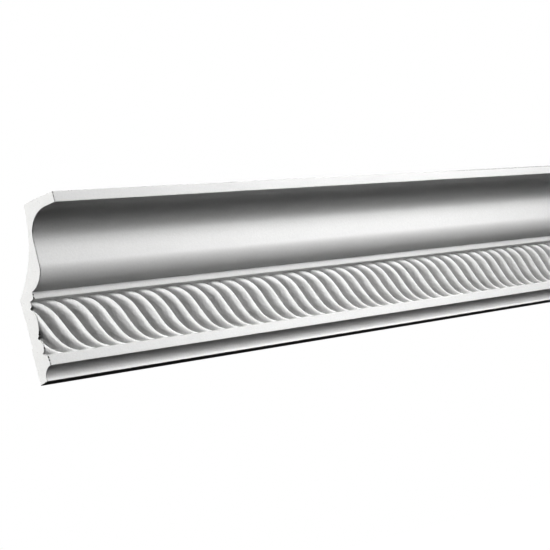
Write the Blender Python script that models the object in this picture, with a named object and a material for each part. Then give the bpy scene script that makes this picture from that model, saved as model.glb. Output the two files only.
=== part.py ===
"""Cornice moulding: one metre of crown moulding cast in rigid white foam.

It fits the corner between a wall and a ceiling. From the ceiling down its face has a fascia, a
cove, a convex round with a fillet, a band of slanting gadroons, and a base fillet over a small
cove. The back is hollow, with a land for the wall, and both ends are sawn square.

Metres. X runs along the moulding, -Y out into the room and +Z up. The origin is the middle of
the lower wall land, where the moulding is glued and nailed to the wall.
"""
import math

import bmesh
import bpy

# Overall size
LENGTH = 1.000
HEIGHT = 0.140
PROJECTION = 0.0668

# Fascia and upper cove
FASCIA_HEIGHT = 0.0089
COVE_RADIUS = 0.0216
COVE_FACE_OUT = 0.0335

# Convex round and the fillet under it
ROUND_RADIUS = 0.0200
ROUND_FACE_OUT = 0.0329
ROUND_TOP_DOWN = 0.0484
ROUND_SWEEP = math.radians(75.5)
FILLET_HEIGHT = 0.0056
FILLET_DRAFT = 0.0005
FILLET_SOFFIT_RISE = 0.0016

# Gadroon band
BAND_TOP_DOWN = 0.0750
BAND_BOTTOM_DOWN = 0.1179
GADROON_PITCH = 0.01863
CREST_OUT = 0.0154
VALLEY_OUT = 0.0114
CREST_SETBACK = 0.0023
CREST_LEVEL_HALF = 0.0080
ROLL_FULLNESS = 0.80
LEAN_AT_MIDDLE = 0.57
LEAN_REACH_UP = 0.0192
LEAN_REACH_DOWN = 0.0179
FIRST_VALLEY = 0.0141

# Base fillet, lower cove and bottom lip
LEDGE_FALL = math.radians(16)
BASE_TOP_OUT = 0.0161
BASE_DRAFT = 0.0006
BASE_FOOT_DOWN = 0.1276
LOWER_COVE_RADIUS = 0.0094
LIP_OUT = 0.0089
LIP_STEP = 0.0006
LIP_DOWN = 0.1386

# Back: wall land, shallow recess above it, hollow and ceiling land
LAND_HEIGHT = 0.0290
RECESS_DEPTH = 0.0019
RECESS_SLOPE_HEIGHT = 0.0020
HOLLOW_RADIUS = 0.0950
HOLLOW_TOP_OUT = 0.0325
BACK_CORNER_RADIUS = 0.0030

# Facets on the round stretches and on the gadroons
COVE_STEPS = 12
ROUND_STEPS = 10
LOWER_COVE_STEPS = 6
HOLLOW_STEPS = 12
CORNER_STEPS = 3
STEPS_PER_GADROON = 6
BAND_STEPS = 12
SHARP_ARRIS = math.radians(35)

BAND_MIDDLE_DOWN = (BAND_TOP_DOWN + BAND_BOTTOM_DOWN) / 2
BAND_HALF_HEIGHT = (BAND_BOTTOM_DOWN - BAND_TOP_DOWN) / 2
ORIGIN_DOWN = HEIGHT - LAND_HEIGHT / 2
GADROONS = math.ceil(LENGTH / GADROON_PITCH)
SPARE_GADROONS = 3

FOAM_WHITE = (0.82, 0.82, 0.81, 1.0)
FOAM_ROUGHNESS = 0.55


def place(along, out, down):
    """A point from its place along the moulding, out from the wall and down from the ceiling."""
    return (along, -out, ORIGIN_DOWN - down)


def arc(out, down, radius, start, sweep, steps):
    """Points (out, down) on a circle; an angle of 0 points out and 90 degrees points down."""
    angles = [start + sweep * i / steps for i in range(steps + 1)]
    return [(out + radius * math.cos(a), down + radius * math.sin(a)) for a in angles]


def upper_outline():
    """The section from the ceiling's front corner down to the soffit over the gadroons."""
    quarter = math.pi / 2
    cove = arc(COVE_FACE_OUT + COVE_RADIUS, FASCIA_HEIGHT + COVE_RADIUS, COVE_RADIUS,
               -quarter, -quarter, COVE_STEPS)
    round_ = arc(ROUND_FACE_OUT - ROUND_RADIUS, ROUND_TOP_DOWN, ROUND_RADIUS,
                 0, ROUND_SWEEP, ROUND_STEPS)
    fillet_out, fillet_top = round_[-1]
    fillet_foot = (fillet_out - FILLET_DRAFT, fillet_top + FILLET_HEIGHT)
    return [(PROJECTION, 0), (PROJECTION, FASCIA_HEIGHT)] + cove + round_ + [fillet_foot]


def lower_outline():
    """The section from the base fillet round under the moulding and up its back."""
    base_foot_out = BASE_TOP_OUT + BASE_DRAFT
    cove_centre_out = LIP_OUT - LIP_STEP + LOWER_COVE_RADIUS
    quarter = math.pi / 2
    cove = arc(cove_centre_out, BASE_FOOT_DOWN + LOWER_COVE_RADIUS, LOWER_COVE_RADIUS,
               -quarter, -quarter, LOWER_COVE_STEPS)
    cove = [point for point in cove if point[0] < base_foot_out]
    land_top = HEIGHT - LAND_HEIGHT
    hollow_centre_out = HOLLOW_TOP_OUT - HOLLOW_RADIUS
    foot_angle = math.acos((RECESS_DEPTH - hollow_centre_out) / HOLLOW_RADIUS)
    top_angle = math.asin(BACK_CORNER_RADIUS / HOLLOW_RADIUS)
    hollow = arc(hollow_centre_out, 0, HOLLOW_RADIUS, foot_angle, top_angle - foot_angle,
                 HOLLOW_STEPS)
    corner = arc(HOLLOW_TOP_OUT + BACK_CORNER_RADIUS, BACK_CORNER_RADIUS, BACK_CORNER_RADIUS,
                 math.pi, quarter, CORNER_STEPS)
    return ([(BASE_TOP_OUT, ledge_down(BASE_TOP_OUT)), (base_foot_out, BASE_FOOT_DOWN)] + cove
            + [(LIP_OUT, LIP_DOWN), (0, HEIGHT), (0, land_top),
               (RECESS_DEPTH, land_top - RECESS_SLOPE_HEIGHT)] + hollow + corner[1:])


def ledge_down(out):
    """Height of the ledge under the gadroons, which falls towards its front edge."""
    return BAND_BOTTOM_DOWN + (out - VALLEY_OUT) * math.tan(LEDGE_FALL)


def soffit_down(out):
    """Height of the soffit over the gadroons, which falls towards the band."""
    foot_out, foot_down = upper_outline()[-1]
    return foot_down + (foot_out - out) * FILLET_SOFFIT_RISE / (foot_out - VALLEY_OUT)


def crest_out(down):
    """How far out the gadroons' crests stand: level in the middle, set back at both edges."""
    past = max(0.0, abs(down - BAND_MIDDLE_DOWN) - CREST_LEVEL_HALF)
    return CREST_OUT - CREST_SETBACK * (past / (BAND_HALF_HEIGHT - CREST_LEVEL_HALF)) ** 2


def roll_height(turn):
    """Height of one gadroon across its width: 0 in the valleys, 1 on the crest, a round arc."""
    across = ROLL_FULLNESS * (2 * turn - 1)
    valley = math.sqrt(1 - ROLL_FULLNESS ** 2)
    return (math.sqrt(1 - across ** 2) - valley) / (1 - valley)


def valley_shift(down):
    """How far along a valley has run at this height: an S that flattens at both edges."""
    reach = LEAN_REACH_UP if down < BAND_MIDDLE_DOWN else LEAN_REACH_DOWN
    return LEAN_AT_MIDDLE * reach * math.tan((down - BAND_MIDDLE_DOWN) / reach)


def band_rows():
    """The gadroon band as rows of points, each column following one gadroon down its S."""
    first = -SPARE_GADROONS * STEPS_PER_GADROON
    last = (GADROONS + SPARE_GADROONS) * STEPS_PER_GADROON
    rows = []
    for j in range(BAND_STEPS + 1):
        slope = math.pi * (j / BAND_STEPS - 0.5)
        down = BAND_MIDDLE_DOWN + BAND_HALF_HEIGHT * math.sin(slope)
        row = []
        for i in range(first, last + 1):
            turn = (i % STEPS_PER_GADROON) / STEPS_PER_GADROON
            along = FIRST_VALLEY + i * GADROON_PITCH / STEPS_PER_GADROON + valley_shift(down)
            out = VALLEY_OUT + (crest_out(down) - VALLEY_OUT) * roll_height(turn)
            edge = {0: soffit_down(out), BAND_STEPS: ledge_down(out)}.get(j, down)
            row.append(place(along - LENGTH / 2, out, edge))
        rows.append(row)
    return rows


def build_mesh(mesh):
    """Run the section along the moulding, weave the band in, then saw both ends square."""
    bm = bmesh.new()
    reach = LENGTH / 2 + 2 * SPARE_GADROONS * GADROON_PITCH

    def rail(point):
        return [bm.verts.new(place(x, *point)) for x in (-reach, reach)]

    upper = [rail(point) for point in upper_outline()]
    lower = [rail(point) for point in lower_outline()]
    band = [[bm.verts.new(point) for point in row] for row in band_rows()]
    for rails in (upper, lower, [lower[-1], upper[0]]):
        for a, b in zip(rails, rails[1:]):
            bm.faces.new((a[0], a[1], b[1], b[0]))
    for a, b in zip(band, band[1:]):
        for i in range(len(a) - 1):
            bm.faces.new((a[i], a[i + 1], b[i + 1]))
            bm.faces.new((a[i], b[i + 1], b[i]))
    bm.faces.new([upper[-1][0], upper[-1][1]] + band[0][::-1])
    bm.faces.new(band[-1] + [lower[0][1], lower[0][0]])

    for side in (-1, 1):
        everything = bm.verts[:] + bm.edges[:] + bm.faces[:]
        cut = bmesh.ops.bisect_plane(bm, geom=everything, dist=1e-7, clear_outer=True,
                                     plane_co=(side * LENGTH / 2, 0, 0), plane_no=(side, 0, 0))
        saw_line = [item for item in cut["geom_cut"] if isinstance(item, bmesh.types.BMEdge)]
        bmesh.ops.contextual_create(bm, geom=saw_line)
    bmesh.ops.recalc_face_normals(bm, faces=bm.faces)
    bm.to_mesh(mesh)
    bm.free()


def foam_material():
    """Smooth white skin of the cast foam, as primed for paint."""
    material = bpy.data.materials.new("white_foam")
    material.use_nodes = True
    shader = material.node_tree.nodes["Principled BSDF"]
    shader.inputs["Base Color"].default_value = FOAM_WHITE
    shader.inputs["Roughness"].default_value = FOAM_ROUGHNESS
    shader.inputs["Metallic"].default_value = 0.0
    return material


def make_cornice():
    mesh = bpy.data.meshes.new("cornice_moulding")
    build_mesh(mesh)
    mesh.materials.append(foam_material())
    cornice = bpy.data.objects.new("cornice_moulding", mesh)
    bpy.context.scene.collection.objects.link(cornice)
    mesh.shade_smooth()
    mesh.set_sharp_from_angle(angle=SHARP_ARRIS)


def main():
    for leftover in list(bpy.data.objects):
        bpy.data.objects.remove(leftover, do_unlink=True)
    make_cornice()


main()
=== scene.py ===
import math

import bmesh
import bpy
from mathutils import Matrix, Vector, noise


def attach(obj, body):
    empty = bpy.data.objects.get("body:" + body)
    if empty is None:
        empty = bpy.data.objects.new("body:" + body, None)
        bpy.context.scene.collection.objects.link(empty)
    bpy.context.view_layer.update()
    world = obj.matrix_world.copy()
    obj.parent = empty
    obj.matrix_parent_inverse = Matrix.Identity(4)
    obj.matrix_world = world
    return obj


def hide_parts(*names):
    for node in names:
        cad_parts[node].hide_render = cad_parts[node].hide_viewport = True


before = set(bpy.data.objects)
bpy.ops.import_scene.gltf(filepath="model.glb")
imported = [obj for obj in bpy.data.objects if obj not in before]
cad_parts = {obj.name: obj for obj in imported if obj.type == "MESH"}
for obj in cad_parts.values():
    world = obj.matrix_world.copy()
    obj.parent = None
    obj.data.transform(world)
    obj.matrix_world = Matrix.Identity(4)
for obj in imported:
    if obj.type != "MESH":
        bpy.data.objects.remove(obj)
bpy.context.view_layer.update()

# Overall size, in metres, as the solid has it
LENGTH = 1.000
HEIGHT = 0.140
PROJECTION = 0.0668
LAND_HEIGHT = 0.0290
ORIGIN_DOWN = HEIGHT - LAND_HEIGHT / 2

# Fascia, upper cove, convex round and fillet
FASCIA_HEIGHT = 0.0089
COVE_RADIUS = 0.0216
COVE_FACE_OUT = 0.0335
ROUND_RADIUS = 0.0200
ROUND_FACE_OUT = 0.0329
ROUND_TOP_DOWN = 0.0484
ROUND_SWEEP = math.radians(75.5)
FILLET_HEIGHT = 0.0056
FILLET_DRAFT = 0.0005
FILLET_SOFFIT_RISE = 0.0016

# Gadroon band
BAND_TOP_DOWN = 0.0750
BAND_BOTTOM_DOWN = 0.1179
BAND_MIDDLE_DOWN = (BAND_TOP_DOWN + BAND_BOTTOM_DOWN) / 2
BAND_HALF_HEIGHT = (BAND_BOTTOM_DOWN - BAND_TOP_DOWN) / 2
GADROON_PITCH = 0.01863
CREST_OUT = 0.0154
VALLEY_OUT = 0.0114
CREST_SETBACK = 0.0023
CREST_LEVEL_HALF = 0.0080
ROLL_FULLNESS = 0.80
LEAN_AT_MIDDLE = 0.57
LEAN_REACH_UP = 0.0192
LEAN_REACH_DOWN = 0.0179
FIRST_VALLEY = 0.0141
GADROONS = math.ceil(LENGTH / GADROON_PITCH)
SPARE_GADROONS = 3

# Base fillet, lower cove and bottom lip
LEDGE_FALL = math.radians(16)
BASE_TOP_OUT = 0.0161
BASE_DRAFT = 0.0006
BASE_FOOT_DOWN = 0.1276
LOWER_COVE_RADIUS = 0.0094
LIP_OUT = 0.0089
LIP_STEP = 0.0006
LIP_DOWN = 0.1386

# Back: wall land, shallow recess above it, hollow and ceiling land
RECESS_DEPTH = 0.0019
RECESS_SLOPE_HEIGHT = 0.0020
HOLLOW_RADIUS = 0.0950
HOLLOW_TOP_OUT = 0.0325
BACK_CORNER_RADIUS = 0.0030

# Arrises as the mould leaves them
CRISP_ARRIS = 0.0004
SOFT_ARRIS = 0.0008
ARRIS_STEPS = 3

# Fineness of the casting's mesh
COVE_STEPS = 32
ROUND_STEPS = 28
LOWER_COVE_STEPS = 14
HOLLOW_STEPS = 26
CORNER_STEPS = 4
STEPS_PER_GADROON = 16
BAND_STEPS = 40
FACE_STEP = 0.0010
BACK_STEP = 0.0030
STATION_STEP = 0.0125
END_STATIONS = (0.0016, 0.0034, 0.0060, 0.0090)
SHARP_ARRIS = math.radians(38)

# Where the smooth faces begin and end beside the parts that they meet
CEILING_LEAD = 0.004
SOFFIT_GAP = 0.0004
LEDGE_LAP = 0.0012
LOWER_COVE_TRIM = 0.0015

# Slow waves of the cast skin, which die out over a few points at a face's edges
SKIN_WAVE = 0.00010
SKIN_WAVE_ALONG = 0.060
SKIN_WAVE_AROUND = 0.030
SKIN_WAVE_LAYER = 1.7
FADE_POINTS = 4

# Lumps and flats that the chisel left on the gadroons
CHISEL_LUMP = 0.00027
CHISEL_LUMP_ACROSS = 0.0042
CHISEL_LUMP_DOWN = 0.0095
CHISEL_LAYER = 4.3

# Sawn ends: how the saw has torn the skin back, and the fineness of its cut
SAWN_RIM = 0.0003
SAWN_TEAR = 0.0003
TEAR_REACH = 0.0040
TEAR_GRAIN = 0.0011
BACK_REACH = 0.0105
SAW_LINE_CUTS = 2
SHORTEST_CUT = 0.00015
LONGEST_CUT = 0.0005
SAW_TOLERANCE = 1e-7
IN_SAW_PLANE = 1e-6

# How the gadroons vary by chance, in place and in depth
ROLL_WANDER = 0.00022
ROLL_DEPTH_SPREAD = 0.05
WANDER_PER_GADROON = 3.7
WANDER_PER_METRE = 90
WANDER_LAYER = 0.5
DEPTH_STRETCH = 0.7

# How far the gadroons stray from an even pitch and slant, in millimetres at every third one
MILLIMETRES_IN_METRE = 1000
GADROONS_BETWEEN = 3
CARVER_DRIFT = (-0.5, -0.3, -0.1, 0.2, 0.2, -0.1, 0.3, 1.5, 0.5, -1.0, -0.7, -0.3, 0.2, -1.1,
                -0.8, 0.0, 0.4, 0.0, 0.0)
CARVER_LEAN = (1.3, 0.6, 0.3, 0.8, 0.0, 0.0, 0.5, 1.5, 1.8, 1.6, 1.8, 1.7, -0.1, -1.0,
               -0.7, 0.0, 0.4, 0.4, 0.0)

# Finishes of the casting's faces; the chips' finish is painted dark as shade inside the chips
FACE, BACK, SAWN, RIM, SHADED_CHIP = range(5)

# Larger chips on the left end's front edge: height below the ceiling, half width and depth
CHIPS = (
    (0.0699, 0.0005, 0.0006),
    (0.0727, 0.0007, 0.0008),
    (0.0804, 0.0009, 0.0010),
    (0.0998, 0.0008, 0.0006),
    (0.1014, 0.0006, 0.0012),
    (0.1042, 0.0010, 0.0013),
    (0.1130, 0.0007, 0.0007),
    (0.1209, 0.0007, 0.0007),
    (0.1235, 0.0006, 0.0006),
)
CHIP_INWARD = 0.6
CHIP_SHOWS = 0.0002


def place(along, out, down):
    """A point from its place along the moulding, out from the wall and down from the ceiling."""
    return Vector((along, -out, ORIGIN_DOWN - down))


# The section's outline

def arc(out, down, radius, start, sweep, steps):
    """Points (out, down) on a circle; an angle of 0 points out and 90 degrees points down."""
    angles = [start + sweep * i / steps for i in range(steps + 1)]
    return [(out + radius * math.cos(a), down + radius * math.sin(a)) for a in angles]


def softened(before, corner, after, radius):
    """The rounded arris that stands for a corner between two straight faces."""
    corner = Vector(corner)
    into = (Vector(before) - corner).normalized()
    away = (Vector(after) - corner).normalized()
    half = into.angle(away) / 2
    reach = radius / math.tan(half)
    centre = corner + (into + away).normalized() * (radius / math.sin(half))
    first = corner + into * reach - centre
    last = corner + away * reach - centre
    turn = first.angle_signed(last)
    points = []
    for i in range(ARRIS_STEPS + 1):
        spoke = first.copy()
        spoke.rotate(Matrix.Rotation(-turn * i / ARRIS_STEPS, 2))
        points.append(tuple(centre + spoke))
    return points


def soften_corners(points, radii):
    """The outline with the corners named by index rounded to their radii."""
    result = []
    for i, point in enumerate(points):
        if i in radii:
            result += softened(points[i - 1], point, points[i + 1], radii[i])
        else:
            result.append(point)
    return result


def divided(points, step):
    """The outline with its long straight faces divided into steps of about this length."""
    result = [points[0]]
    for a, b in zip(points, points[1:]):
        count = max(1, round(math.dist(a, b) / step))
        result += [tuple(Vector(a).lerp(Vector(b), (i + 1) / count)) for i in range(count)]
    return result


def fillet_foot():
    """The lower front corner of the fillet under the convex round."""
    out = ROUND_FACE_OUT - ROUND_RADIUS + ROUND_RADIUS * math.cos(ROUND_SWEEP)
    down = ROUND_TOP_DOWN + ROUND_RADIUS * math.sin(ROUND_SWEEP)
    return (out - FILLET_DRAFT, down + FILLET_HEIGHT)


def ledge_down(out):
    """Height of the ledge under the gadroons, which falls towards its front edge."""
    return BAND_BOTTOM_DOWN + (out - VALLEY_OUT) * math.tan(LEDGE_FALL)


def soffit_down(out):
    """Height of the soffit over the gadroons, which falls towards the band."""
    foot_out, foot_down = fillet_foot()
    return foot_down + (foot_out - out) * FILLET_SOFFIT_RISE / (foot_out - VALLEY_OUT)


def upper_face():
    """The front from the ceiling's corner down to the soffit over the gadroons."""
    quarter = math.pi / 2
    cove = arc(COVE_FACE_OUT + COVE_RADIUS, FASCIA_HEIGHT + COVE_RADIUS, COVE_RADIUS,
               -quarter, -quarter, COVE_STEPS)
    swell = arc(ROUND_FACE_OUT - ROUND_RADIUS, ROUND_TOP_DOWN, ROUND_RADIUS,
                0, ROUND_SWEEP, ROUND_STEPS)
    soffit_end = (CREST_OUT + SOFFIT_GAP, soffit_down(CREST_OUT + SOFFIT_GAP))
    start = (PROJECTION - CEILING_LEAD, 0)
    points = [start, (PROJECTION, 0), (PROJECTION, FASCIA_HEIGHT)] + cove + swell
    points += [fillet_foot(), soffit_end]
    foot = len(points) - 2
    radii = {1: CRISP_ARRIS, 2: CRISP_ARRIS, foot: CRISP_ARRIS}
    return divided(soften_corners(points, radii)[1:], FACE_STEP)


def lower_face():
    """The front from the ledge under the gadroons down to the bottom lip."""
    quarter = math.pi / 2
    base_foot_out = BASE_TOP_OUT + BASE_DRAFT
    cove = arc(LIP_OUT - LIP_STEP + LOWER_COVE_RADIUS, BASE_FOOT_DOWN + LOWER_COVE_RADIUS,
               LOWER_COVE_RADIUS, -quarter, -quarter, LOWER_COVE_STEPS)
    cove = [point for point in cove if point[0] < base_foot_out - LOWER_COVE_TRIM]
    ledge = (CREST_OUT - LEDGE_LAP, ledge_down(CREST_OUT - LEDGE_LAP))
    points = [ledge, (BASE_TOP_OUT, ledge_down(BASE_TOP_OUT)), (base_foot_out, BASE_FOOT_DOWN)]
    points += cove + [(LIP_OUT, LIP_DOWN), (0, HEIGHT)]
    lip = len(points) - 2
    return divided(soften_corners(points, {1: SOFT_ARRIS, 2: CRISP_ARRIS, lip: CRISP_ARRIS}),
                   FACE_STEP)


def back_face():
    """The back from the bottom edge up the wall land and the hollow to the ceiling land."""
    land_top = HEIGHT - LAND_HEIGHT
    centre_out = HOLLOW_TOP_OUT - HOLLOW_RADIUS
    foot_angle = math.acos((RECESS_DEPTH - centre_out) / HOLLOW_RADIUS)
    top_angle = math.asin(BACK_CORNER_RADIUS / HOLLOW_RADIUS)
    hollow = arc(centre_out, 0, HOLLOW_RADIUS, foot_angle, top_angle - foot_angle, HOLLOW_STEPS)
    corner = arc(HOLLOW_TOP_OUT + BACK_CORNER_RADIUS, BACK_CORNER_RADIUS, BACK_CORNER_RADIUS,
                 math.pi, math.pi / 2, CORNER_STEPS)
    points = [(0, HEIGHT), (0, land_top), (RECESS_DEPTH, land_top - RECESS_SLOPE_HEIGHT)]
    points += hollow + corner[1:] + [(PROJECTION - CRISP_ARRIS, 0)]
    return divided(points, BACK_STEP)


# The gadroon band

def crest_out(down):
    """How far out the gadroons' crests stand: level in the middle, set back at both edges."""
    past = max(0.0, abs(down - BAND_MIDDLE_DOWN) - CREST_LEVEL_HALF)
    return CREST_OUT - CREST_SETBACK * (past / (BAND_HALF_HEIGHT - CREST_LEVEL_HALF)) ** 2


def roll_height(turn):
    """Height of one gadroon across its width: 0 in the valleys, 1 on the crest, a round arc."""
    across = ROLL_FULLNESS * (2 * turn - 1)
    valley = math.sqrt(1 - ROLL_FULLNESS ** 2)
    return (math.sqrt(1 - across ** 2) - valley) / (1 - valley)


def valley_shift(down):
    """How far along a valley has run at this height: an S that flattens at both edges."""
    reach = LEAN_REACH_UP if down < BAND_MIDDLE_DOWN else LEAN_REACH_DOWN
    return LEAN_AT_MIDDLE * reach * math.tan((down - BAND_MIDDLE_DOWN) / reach)


def between(values, index):
    """A smooth run through values that stand a few gadroons apart."""
    spot = min(max(index / GADROONS_BETWEEN, 0), len(values) - 1)
    whole = min(int(spot), len(values) - 2)
    rise = spot - whole
    rise *= rise * (3 - 2 * rise)
    return values[whole] * (1 - rise) + values[whole + 1] * rise


def carved(index, down):
    """How the carver strayed: how far along a valley lies at this height, and its depth."""
    lean = (down - BAND_MIDDLE_DOWN) / BAND_HALF_HEIGHT
    spot = Vector((index * WANDER_PER_GADROON, down * WANDER_PER_METRE, WANDER_LAYER))
    along = (between(CARVER_DRIFT, index) + between(CARVER_LEAN, index) * lean
             + MILLIMETRES_IN_METRE * ROLL_WANDER * noise.noise(spot))
    depth = 1 + ROLL_DEPTH_SPREAD * noise.noise(spot * DEPTH_STRETCH)
    return along / MILLIMETRES_IN_METRE, depth


def chisel_lump(index, turn, down):
    """The slight flats and lumps that a chisel leaves along a gadroon, as a distance out."""
    spot = Vector(((index + turn) * GADROON_PITCH / CHISEL_LUMP_ACROSS,
                   down / CHISEL_LUMP_DOWN, CHISEL_LAYER))
    return CHISEL_LUMP * noise.noise(spot)


def band_rows():
    """The gadroon band as rows of points, each column following one gadroon down its S."""
    first = -SPARE_GADROONS * STEPS_PER_GADROON
    last = (GADROONS + SPARE_GADROONS) * STEPS_PER_GADROON
    rows = []
    for j in range(BAND_STEPS + 1):
        slope = math.pi * (j / BAND_STEPS - 0.5)
        down = BAND_MIDDLE_DOWN + BAND_HALF_HEIGHT * math.sin(slope)
        row = []
        for i in range(first, last + 1):
            gadroon, step = divmod(i, STEPS_PER_GADROON)
            turn = step / STEPS_PER_GADROON
            here, next_ = carved(gadroon, down), carved(gadroon + 1, down)
            wander = here[0] * (1 - turn) + next_[0] * turn
            depth = here[1] * (1 - turn) + next_[1] * turn
            along = FIRST_VALLEY + i * GADROON_PITCH / STEPS_PER_GADROON + valley_shift(down)
            out = VALLEY_OUT + (crest_out(down) - VALLEY_OUT) * roll_height(turn) * depth
            out += chisel_lump(gadroon, turn, down) * math.cos(slope)
            edge = {0: soffit_down(out), BAND_STEPS: ledge_down(out)}.get(j, down)
            row.append(place(along + wander - LENGTH / 2, out, edge))
        rows.append(row)
    return rows


# The casting

def stations():
    """Places along the moulding where the section is set, closer together near the sawn ends."""
    half = LENGTH / 2
    count = round(LENGTH / STATION_STEP)
    inner = [-half + i * LENGTH / count for i in range(1, count)]
    ends = [side * (half - gap) for side in (-1, 1) for gap in END_STATIONS]
    over = 2 * SPARE_GADROONS * GADROON_PITCH
    return sorted(inner + ends + [-half - over, half + over])


def skin_wave(along, around):
    """The slow unevenness of a cast skin, as a distance out."""
    spot = Vector((along / SKIN_WAVE_ALONG, around / SKIN_WAVE_AROUND, SKIN_WAVE_LAYER))
    return SKIN_WAVE * noise.noise(spot)


def stitch(bm, upper, lower):
    """Triangles between two rows of vertices that run the same way along the moulding."""
    i = j = 0
    while i < len(upper) - 1 or j < len(lower) - 1:
        next_up = upper[i + 1].co.x if i < len(upper) - 1 else math.inf
        next_low = lower[j + 1].co.x if j < len(lower) - 1 else math.inf
        if next_up <= next_low:
            bm.faces.new((upper[i], upper[i + 1], lower[j]))
            i += 1
        else:
            bm.faces.new((upper[i], lower[j + 1], lower[j]))
            j += 1


def rails(bm, outline, wavy):
    """One row of vertices along the moulding for each point of an outline."""
    rows = []
    around = 0.0
    for k, (out, down) in enumerate(outline):
        around += math.dist(outline[k - 1], outline[k]) if k else 0.0
        to_edge = min(k, len(outline) - 1 - k)
        fade = min(1.0, to_edge / FADE_POINTS) if wavy else 0.0
        rows.append([bm.verts.new(place(x, out + fade * skin_wave(x, around), down))
                     for x in stations()])
    return rows


def woven(bm, rows, finish):
    """Faces between neighbouring rows of vertices, with one of the casting's finishes."""
    for a, b in zip(rows, rows[1:]):
        for i in range(len(a) - 1):
            bm.faces.new((a[i], a[i + 1], b[i + 1], b[i])).material_index = finish


def chip_depth(spot, side):
    """How deep the left end's front edge is chipped at this place; nothing elsewhere."""
    if side > 0 or -spot.y < BACK_REACH:
        return 0.0
    down = ORIGIN_DOWN - spot.z
    return sum(deep * math.exp(-((down - middle) / half) ** 2) for middle, half, deep in CHIPS)


def tear_depth(spot, side):
    """How far the saw has torn the skin back from an end at this place on the outline."""
    grain = noise.noise(Vector((spot.y, spot.z, side)) / TEAR_GRAIN)
    return SAWN_RIM + SAWN_TEAR * grain + chip_depth(spot, side)


def inner_ring(bm, end, side):
    """New vertices that follow a sawn face's outline a little inside it."""
    ring = [vert.co for vert in end.verts]
    edges = [(after - spot).normalized() for spot, after in zip(ring, ring[1:] + ring[:1])]
    inward = [end.normal.cross(edge) for edge in edges]
    verts = []
    for spot, before, after in zip(ring, inward[-1:] + inward[:-1], inward):
        gap = SAWN_RIM + CHIP_INWARD * chip_depth(spot, side)
        verts.append(bm.verts.new(spot + gap * (before + after).normalized()))
    return verts


def saw_line_edges(bm, end_x):
    """The open edges that a saw cut has left in its plane."""
    return [edge for edge in bm.edges if edge.is_boundary
            and all(abs(vert.co.x - end_x) < IN_SAW_PLANE for vert in edge.verts)]


def saw_end(bm, side):
    """Saws the moulding off square and leaves a ragged rim where the saw tears the skin."""
    end_x = side * LENGTH / 2
    everything = bm.verts[:] + bm.edges[:] + bm.faces[:]
    cut = bmesh.ops.bisect_plane(bm, geom=everything, dist=SAW_TOLERANCE, clear_outer=True,
                                 plane_co=(end_x, 0, 0), plane_no=(side, 0, 0))
    cut_verts = [item for item in cut["geom_cut"] if isinstance(item, bmesh.types.BMVert)]
    bmesh.ops.remove_doubles(bm, verts=cut_verts, dist=SHORTEST_CUT)
    long_edges = [edge for edge in saw_line_edges(bm, end_x) if edge.calc_length() > LONGEST_CUT]
    bmesh.ops.subdivide_edges(bm, edges=long_edges, cuts=SAW_LINE_CUTS)
    (whole,) = bmesh.ops.contextual_create(bm, geom=saw_line_edges(bm, end_x))["faces"]
    whole.normal_update()
    outer = list(whole.verts)
    inner = inner_ring(bm, whole, side)
    bmesh.ops.delete(bm, geom=[whole], context="FACES_ONLY")
    bm.faces.new(inner).material_index = SAWN
    for i, vert in enumerate(outer):
        face = bm.faces.new((outer[i - 1], vert, inner[i], inner[i - 1]))
        # Chips deep enough to show get the foam painted dark as shade inside them
        face.material_index = SHADED_CHIP if chip_depth(vert.co, side) > CHIP_SHOWS else RIM
    kept = set(inner)
    for vert in bm.verts:
        gap = abs(vert.co.x - end_x)
        if gap < TEAR_REACH and vert not in kept:
            vert.co.x -= side * tear_depth(vert.co, side) * (1 - gap / TEAR_REACH) ** 2


def build_casting(mesh):
    """Runs the section along the moulding, weaves the band in, then saws both ends square."""
    bm = bmesh.new()
    upper = rails(bm, upper_face(), True)
    lower = rails(bm, lower_face(), True)
    back = rails(bm, back_face()[1:-1], False)
    band = [[bm.verts.new(point) for point in row] for row in band_rows()]
    woven(bm, upper, FACE)
    woven(bm, lower, FACE)
    woven(bm, [lower[-1]] + back + [upper[0]], BACK)
    woven(bm, band, FACE)
    stitch(bm, upper[-1], band[0])
    stitch(bm, band[-1], lower[0])
    for side in (-1, 1):
        saw_end(bm, side)
    bmesh.ops.recalc_face_normals(bm, faces=bm.faces)
    bm.to_mesh(mesh)
    bm.free()


# Shader tools

# Sockets of a Mix node that mixes colours, by their numbers
MIX_FACTOR, MIX_FIRST, MIX_SECOND, MIX_RESULT = 0, 6, 7, 2


class Tone:
    """A shader value that is worked with as a number in Python."""

    def __init__(self, paint, socket):
        self.paint = paint
        self.socket = socket

    def _math(self, operation, *values):
        return self.paint.node("ShaderNodeMath", {"operation": operation}, dict(enumerate(values)))

    def __add__(self, other):
        return self._math("ADD", self, other)

    def __sub__(self, other):
        return self._math("SUBTRACT", self, other)

    def __rsub__(self, other):
        return self._math("SUBTRACT", other, self)

    def __mul__(self, other):
        return self._math("MULTIPLY", self, other)

    __radd__ = __add__
    __rmul__ = __mul__

    def step_up(self, low, high):
        """0 below low, 1 above high and a smooth rise between them."""
        return self.paint.node("ShaderNodeMapRange", {"interpolation_type": "SMOOTHSTEP"},
                               {"Value": self, "From Min": low, "From Max": high})


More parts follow.
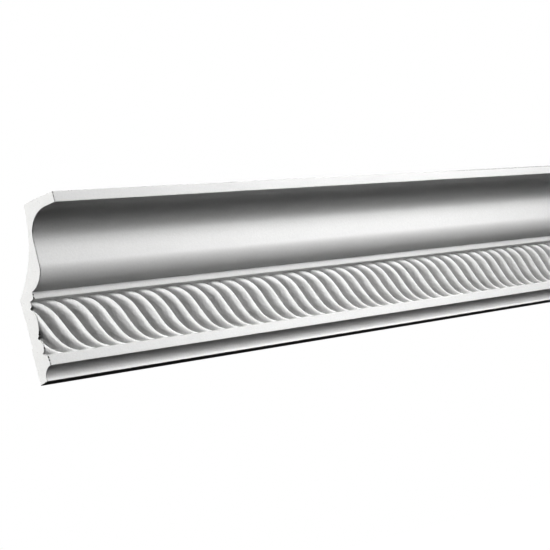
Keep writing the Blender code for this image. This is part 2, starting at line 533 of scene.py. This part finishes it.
class Finish:
    """One material, made from a Principled shader and the values that vary over it."""

    def __init__(self, name, **fixed):
        self.material = bpy.data.materials.new(name)
        self.material.use_nodes = True
        self.tree = self.material.node_tree
        self.shader = self.tree.nodes["Principled BSDF"]
        for socket, value in fixed.items():
            self.shader.inputs[socket.replace("_", " ")].default_value = value
        self.where = self.node("ShaderNodeTexCoord", {}, {}, "Object")

    def node(self, kind, settings, sockets, output=0):
        """Adds a node: its settings first, then the values or links of its sockets."""
        made = self.tree.nodes.new(kind)
        for name, value in settings.items():
            setattr(made, name, value)
        for name, value in sockets.items():
            if isinstance(value, Tone):
                self.tree.links.new(value.socket, made.inputs[name])
            else:
                made.inputs[name].default_value = value
        return Tone(self, made.outputs[output])

    def grain(self, size, detail, stretch=(1, 1, 1)):
        """Soft noise with patches of about this size in metres, from 0 to 1."""
        spot = self.node("ShaderNodeVectorMath", {"operation": "MULTIPLY"},
                         {0: self.where, 1: stretch})
        return self.node("ShaderNodeTexNoise", {},
                         {"Vector": spot, "Scale": 1 / size, "Detail": detail})

    def cells(self, size):
        """Distance from the middle of round cells of about this size, from 0 to about 1."""
        return self.node("ShaderNodeTexVoronoi", {}, {"Vector": self.where, "Scale": 1 / size})

    def axes(self):
        """The place on the moulding as three values: along, towards the wall and up."""
        split = self.node("ShaderNodeSeparateXYZ", {}, {"Vector": self.where})
        return [Tone(self, output) for output in split.socket.node.outputs]

    def distance(self, spot):
        """The distance from a point of the moulding."""
        return self.node("ShaderNodeVectorMath", {"operation": "DISTANCE"},
                         {0: self.where, 1: spot}, "Value")

    def blend(self, amount, first, second):
        """A colour between two others; an amount over 1 counts as 1."""
        return self.node("ShaderNodeMix", {"data_type": "RGBA", "clamp_factor": True},
                         {MIX_FACTOR: amount, MIX_FIRST: first, MIX_SECOND: second}, MIX_RESULT)

    def bump(self, height, depth):
        """The surface tilted by a height that is worth this depth in metres."""
        return self.node("ShaderNodeBump", {}, {"Height": height, "Distance": depth})

    def feed(self, **links):
        """Links the values that vary over the surface to the shader."""
        for socket, value in links.items():
            self.tree.links.new(value.socket, self.shader.inputs[socket.replace("_", " ")])
        return self.material


# Finishes

# Darker and lighter colour of each finish
SKIN_DARK, SKIN_LIGHT = (0.620, 0.620, 0.616, 1), (0.800, 0.800, 0.796, 1)
BACK_DARK, BACK_LIGHT = (0.590, 0.588, 0.574, 1), (0.740, 0.738, 0.724, 1)
SAWN_DARK, SAWN_LIGHT = (0.76, 0.76, 0.748, 1), (0.90, 0.90, 0.89, 1)
# The rim's greys: partly the torn skin edge's own tone, partly painted shade along the end's front
# arris
TORN_AND_SHADED_DARK, TORN_AND_SHADED_LIGHT = (0.55, 0.55, 0.54, 1), (0.80, 0.80, 0.79, 1)
# Painted shade: the chips' foam is coloured dark for the shade inside the cavities
CHIP_SHADE_DARK, CHIP_SHADE_LIGHT = (0.10, 0.10, 0.10, 1), (0.34, 0.34, 0.33, 1)
# Grey that wear and the fascia's painted shade are blended towards
WEAR_AND_SHADE_GREY = (0.20, 0.20, 0.20, 1)
FLECK_GREY = (0.45, 0.45, 0.44, 1)

# Depth of each finish's relief
SKIN_RELIEF = 0.00011
BACK_RELIEF = 0.00018
FOAM_RELIEF = 0.00012

# Dark specks on the ceiling arris, by their places along the moulding
SPECKS = (-0.4818, -0.4785, 0.0660, 0.0725)
SPECK_RADIUS = 0.0007
SPECK_CORE = 0.6

# Scuffing at the ceiling arris: where along it starts and is full, and how far down it is full
# and has faded out
SCUFF_STARTS, SCUFF_FULL = 0.075, 0.10
SCUFF_FULL_DOWN, SCUFF_GONE_DOWN = 0.0006, 0.0012

# Height over which the fascia's painted shade ends, and the chisel's marks at the band's edges
FASCIA_BLUR = 0.0002
BAND_BLUR = 0.001


def cast_skin():
    """White primed skin of the front: close, satin to matt, with a faint orange peel."""
    skin = Finish("cast_skin", Specular_IOR_Level=0.35)
    cloud = skin.grain(0.035, detail=3)
    peel = skin.grain(0.0019, detail=2)
    dust = skin.grain(0.0007, detail=1)
    pits = skin.cells(0.011)
    along, _, height = skin.axes()
    pinhole = (1 - pits.step_up(0.020, 0.045)) * cloud.step_up(0.5, 0.6)
    scuffed = (height.step_up(ORIGIN_DOWN - SCUFF_GONE_DOWN, ORIGIN_DOWN - SCUFF_FULL_DOWN)
               * along.step_up(SCUFF_STARTS, SCUFF_FULL) * peel.step_up(0.35, 0.5))
    fascia_foot = ORIGIN_DOWN - FASCIA_HEIGHT
    # Painted shade: the fascia is tinted a little towards grey so that it reads darker, as shade
    # would make it
    fascia_painted_shade = height.step_up(fascia_foot - FASCIA_BLUR, fascia_foot + FASCIA_BLUR)
    wear_and_painted_shade = pinhole * 0.4 + scuffed * 0.6 + fascia_painted_shade * 0.10
    for speck in SPECKS:
        away = skin.distance((speck, -PROJECTION, ORIGIN_DOWN))
        wear_and_painted_shade = wear_and_painted_shade + (1 - away.step_up(SPECK_RADIUS * SPECK_CORE, SPECK_RADIUS)) * 0.8
    clean = skin.blend(cloud * 0.25 + peel * 0.4 + dust * 0.35, SKIN_DARK, SKIN_LIGHT)
    band_foot, band_head = ORIGIN_DOWN - BAND_BOTTOM_DOWN, ORIGIN_DOWN - BAND_TOP_DOWN
    in_band = (height.step_up(band_foot, band_foot + BAND_BLUR)
               * (1 - height.step_up(band_head - BAND_BLUR, band_head)))
    tool_marks = (skin.grain(0.0027, detail=2) - 0.5) * in_band
    relief = peel * 0.6 + dust * 0.4 - pinhole + tool_marks * 4
    return skin.feed(Base_Color=skin.blend(wear_and_painted_shade, clean, WEAR_AND_SHADE_GREY),
                     Roughness=cloud * 0.12 + dust * 0.08 + 0.42,
                     Normal=skin.bump(relief, SKIN_RELIEF))


def back_skin():
    """Plainer skin of the back, duller and streaked by the mould's lid."""
    skin = Finish("back_skin", Specular_IOR_Level=0.25)
    cloud = skin.grain(0.05, detail=4)
    streak = skin.grain(0.004, detail=3, stretch=(0.06, 1, 1))
    peel = skin.grain(0.0018, detail=2)
    return skin.feed(Base_Color=skin.blend(cloud * 0.6 + streak * 0.4, BACK_DARK, BACK_LIGHT),
                     Roughness=cloud * 0.15 + 0.6,
                     Normal=skin.bump(streak * 0.6 + peel * 0.4, BACK_RELIEF))


def open_foam(name, dark, light):
    """Raw foam where the saw went through: tiny open cells and faint marks of the teeth."""
    foam = Finish(name, Specular_IOR_Level=0.2)
    pores = foam.cells(0.0009)
    fine = foam.cells(0.0004)
    cloud = foam.grain(0.006, detail=3)
    teeth = foam.grain(0.0012, detail=2, stretch=(1, 0.08, 1))
    fleck = (1 - foam.cells(0.0034).step_up(0.06, 0.16)) * cloud.step_up(0.45, 0.6)
    plain = foam.blend(pores * 0.35 + cloud * 0.45 + fine * 0.2, dark, light)
    relief = pores * 0.6 + fine * 0.3 + teeth * 0.4 - fleck * 0.6
    return foam.feed(Base_Color=foam.blend(fleck * 0.5, plain, FLECK_GREY),
                     Roughness=cloud * 0.1 + 0.82, Normal=foam.bump(relief, FOAM_RELIEF))


def make_casting():
    """The whole moulding, one casting, in place of the plain solid."""
    mesh = bpy.data.meshes.new("cornice_casting")
    build_casting(mesh)
    finishes = {FACE: cast_skin(), BACK: back_skin(),
                SAWN: open_foam("sawn_foam", SAWN_DARK, SAWN_LIGHT),
                # Rim foam darkened: partly the torn skin's own tone, partly painted shade of the
                # end's front arris
                RIM: open_foam("torn_rim_and_shade", TORN_AND_SHADED_DARK, TORN_AND_SHADED_LIGHT),
                # Chip foam painted dark as shade inside the chips
                SHADED_CHIP: open_foam("shaded_chip_foam", CHIP_SHADE_DARK, CHIP_SHADE_LIGHT)}
    for index in sorted(finishes):
        mesh.materials.append(finishes[index])
    mesh.shade_smooth()
    mesh.set_sharp_from_angle(angle=SHARP_ARRIS)
    for face in mesh.polygons:
        face.use_smooth = face.material_index != SAWN
    casting = bpy.data.objects.new("cornice_casting", mesh)
    bpy.context.scene.collection.objects.link(casting)
    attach(casting, "root")
    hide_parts("cornice_moulding")


# Studio

# The camera, as fitted to the photo's straight edges
CAMERA_PLACE = Vector((-1.5618, -1.0696, -0.1706))
CAMERA_AZIMUTH = math.radians(-52.491)
CAMERA_ELEVATION = math.radians(-7.246)
CAMERA_ROLL = math.radians(15.922)
FOCAL_PIXELS = 1900
FRAME_PIXELS = 550
SENSOR_WIDTH = 36

# Points that the lights are turned towards
MIDDLE = Vector((0, -0.03, 0.06))
RIGHT_OF_MIDDLE = Vector((0.15, -0.03, 0.06))
PAST_LEFT_END = Vector((-0.75, -0.03, 0.06))
LEFT_END = Vector((-LENGTH / 2, 0, 0.06))

# Lights in front, with a grid: side angle, height angle, aim, width and height, watts and
# spread; angles in degrees
LIGHT_DISTANCE = 3.0
FRONT_LIGHTS = {
    "front_light": (20, 31, MIDDLE, (0.5, 0.9), 5.5, 57),
    "key_from_right": (55, 38, PAST_LEFT_END, (0.5, 0.6), 3.2, 46),
    "low_light_from_right": (55, 14, PAST_LEFT_END, (0.5, 0.5), 2.4, 34),
    "low_light_from_left": (-35, 2, RIGHT_OF_MIDDLE, (0.5, 0.5), 0.15, 26),
}

# Lights without a grid: place, aim, width and height, and watts
OPEN_LIGHTS = {
    "fill_on_left_end": (Vector((-2.13, 1.51, 0.95)), LEFT_END, (0.5, 0.5), 88),
    "fill_behind": (Vector((0.8, 2.4, 1.4)), MIDDLE, (1.5, 1.5), 9),
}
NO_GRID = math.pi

# The white surroundings, as the camera sees them and as they light the moulding
WHITE_SEEN = 1.0
WHITE_CAST = 0.01

# How much steeper the photo's tones are than a plain display's
PHOTO_CONTRAST = 1.2

FLOOR_DROP = 0.75
FLOOR_SIZE = 40.0


def make_camera():
    """Looks up at the moulding from the front left, leaning as the photographer's camera did."""
    data = bpy.data.cameras.new("camera")
    data.sensor_width = SENSOR_WIDTH
    data.lens = SENSOR_WIDTH * FOCAL_PIXELS / FRAME_PIXELS
    camera = bpy.data.objects.new("camera", data)
    bpy.context.scene.collection.objects.link(camera)
    level = math.cos(CAMERA_ELEVATION)
    back = Vector((math.sin(CAMERA_AZIMUTH) * level, -math.cos(CAMERA_AZIMUTH) * level,
                   math.sin(CAMERA_ELEVATION)))
    upright = back.to_track_quat("Z", "Y").to_matrix().to_4x4()
    camera.matrix_world = (Matrix.Translation(CAMERA_PLACE) @ upright
                           @ Matrix.Rotation(-CAMERA_ROLL, 4, "Z"))
    bpy.context.scene.camera = camera


def in_front(azimuth, rise):
    """A place in front of the moulding: its side angle and its height angle over the section."""
    out = math.cos(azimuth)
    way = Vector((math.sin(azimuth), -out, out * math.tan(rise))).normalized()
    return MIDDLE + way * LIGHT_DISTANCE


def softbox(name, spot, aim, size, watts, spread):
    """A studio light turned towards a point; its grid keeps the light within the spread."""
    data = bpy.data.lights.new(name, "AREA")
    data.shape = "RECTANGLE"
    data.size, data.size_y = size
    data.energy = watts
    data.spread = spread
    light = bpy.data.objects.new(name, data)
    light.location = spot
    light.rotation_euler = (aim - spot).to_track_quat("-Z", "Y").to_euler()
    bpy.context.scene.collection.objects.link(light)


def make_lights():
    for name, (azimuth, rise, aim, size, watts, spread) in FRONT_LIGHTS.items():
        spot = in_front(math.radians(azimuth), math.radians(rise))
        softbox(name, spot, aim, size, watts, math.radians(spread))
    for name, (spot, aim, size, watts) in OPEN_LIGHTS.items():
        softbox(name, spot, aim, size, watts, NO_GRID)


def make_world():
    """White all round to the eye, and only a little light of its own on the moulding."""
    world = bpy.data.worlds.new("studio")
    bpy.context.scene.world = world
    world.use_nodes = True
    tree = world.node_tree
    seen = tree.nodes["Background"]
    cast = tree.nodes.new("ShaderNodeBackground")
    for white, strength in ((seen, WHITE_SEEN), (cast, WHITE_CAST)):
        white.inputs["Color"].default_value = (1, 1, 1, 1)
        white.inputs["Strength"].default_value = strength
    path = tree.nodes.new("ShaderNodeLightPath")
    mix = tree.nodes.new("ShaderNodeMixShader")
    tree.links.new(path.outputs["Is Camera Ray"], mix.inputs[0])
    tree.links.new(cast.outputs[0], mix.inputs[1])
    tree.links.new(seen.outputs[0], mix.inputs[2])
    tree.links.new(mix.outputs[0], tree.nodes["World Output"].inputs["Surface"])


def make_floor():
    """A plain pale floor well below the moulding, which hangs on a wall that isn't shown."""
    half = FLOOR_SIZE / 2
    mesh = bpy.data.meshes.new("floor")
    around = ((-half, -half), (half, -half), (half, half), (-half, half))
    mesh.from_pydata([(x, y, -FLOOR_DROP) for x, y in around], [], [(0, 1, 2, 3)])
    paper = Finish("pale_paper", Base_Color=(0.8, 0.8, 0.8, 1), Emission_Strength=1.0,
                   Emission_Color=(1, 1, 1, 1), Roughness=0.9)
    mesh.materials.append(paper.material)
    floor = bpy.data.objects.new("floor", mesh)
    floor.visible_diffuse = False
    floor.visible_glossy = False
    bpy.context.scene.collection.objects.link(floor)


bpy.context.scene.view_settings.view_transform = "Standard"
bpy.context.scene.view_settings.gamma = 1 / PHOTO_CONTRAST
make_camera()
make_casting()
make_lights()
make_world()
make_floor()
